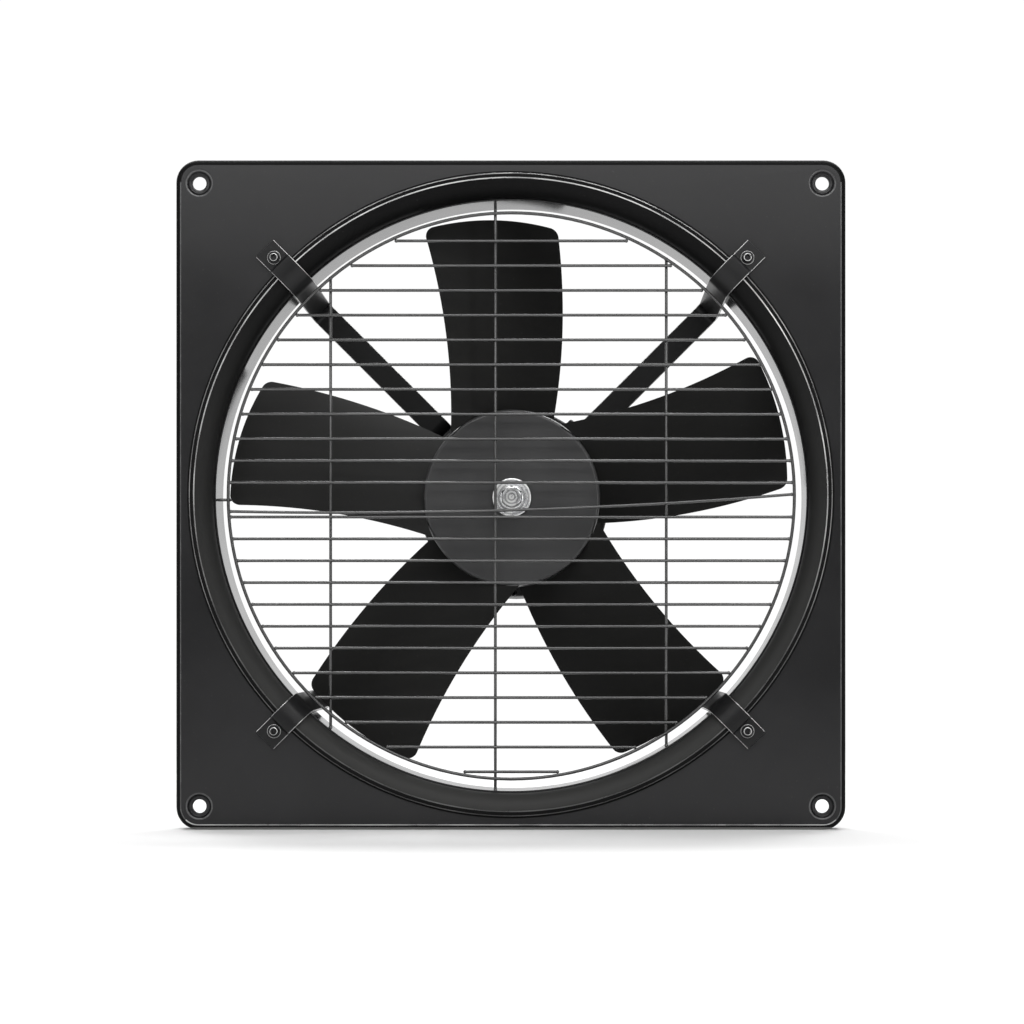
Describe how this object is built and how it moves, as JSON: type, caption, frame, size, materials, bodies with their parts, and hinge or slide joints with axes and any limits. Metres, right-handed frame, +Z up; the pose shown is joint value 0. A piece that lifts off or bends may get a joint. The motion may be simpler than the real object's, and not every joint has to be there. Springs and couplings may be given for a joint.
{
  "type": "industrial exhaust fan",
  "caption": "Square wall-plate axial exhaust fan: pressed bell-mouth and duct, wire guard, cambered blades on a hub, and a motor held behind by bent flat arms.",
  "frame": {"origin": "on the fan axis, level with the seats of the four wall bolts at the bottom of their dimples", "axes": "+X right and +Z up seen from the intake side; +Y back along the fan axis, towards the motor"},
  "size_m": [0.54, 0.2383, 0.54],
  "materials": {
    "plate_paint": "satin black powder coat",
    "arm_paint": "satin black powder coat",
    "wire_paint": "dark grey coated wire",
    "blade_paint": "matt black paint",
    "hub_paint": "satin black paint",
    "motor_paint": "satin black paint",
    "zinc": "bright zinc plating",
    "black_screw": "black oxide",
    "shaft_steel": "ground steel",
    "core_steel": "stacked electrical steel",
    "copper": "varnished copper wire",
    "bearing_steel": "polished bearing steel",
    "box_paint": "satin black paint",
    "gasket": "black rubber",
    "gland": "black nylon",
    "block": "pale moulded plastic"
  },
  "bodies": {
    "frame": {"wall_plate": "plate_paint", "duct_ring": "plate_paint", "guard_ring": "wire_paint", "guard_cross_wires": "wire_paint", "guard_upright_wires": "wire_paint", "support_arm_1": "arm_paint", "support_arm_2": "arm_paint", "support_arm_3": "arm_paint", "support_arm_4": "arm_paint", "foot_screws": "black_screw", "foot_nuts": "black_screw", "motor_barrel": "motor_paint", "motor_front_shield": "motor_paint", "motor_rear_shield": "motor_paint", "shield_screws": "black_screw", "pad_bolts": "black_screw", "pad_washers": "black_screw", "stator_core": "core_steel", "stator_windings": "copper", "front_bearing": "bearing_steel", "rear_bearing": "bearing_steel", "terminal_box": "box_paint", "lid_gasket": "gasket", "terminal_box_lid": "box_paint", "lid_screws": "zinc", "terminal_block": "block", "cable_gland": "gland"},
    "rotor": {"motor_shaft": "shaft_steel", "rotor_core": "core_steel", "shaft_key": "shaft_steel", "hub_drum": "hub_paint", "hub_bush": "shaft_steel", "hub_washer": "zinc", "hub_bolt": "zinc", "blade_1": "blade_paint", "blade_2": "blade_paint", "blade_3": "blade_paint", "blade_4": "blade_paint", "blade_5": "blade_paint"}
  },
  "joints": [
    {"name": "fan_spin", "type": "hinge", "parent": "frame", "child": "rotor", "pos_m": [0, 0, 0], "axis": [0, -1, 0], "continuous": true}
  ]
}
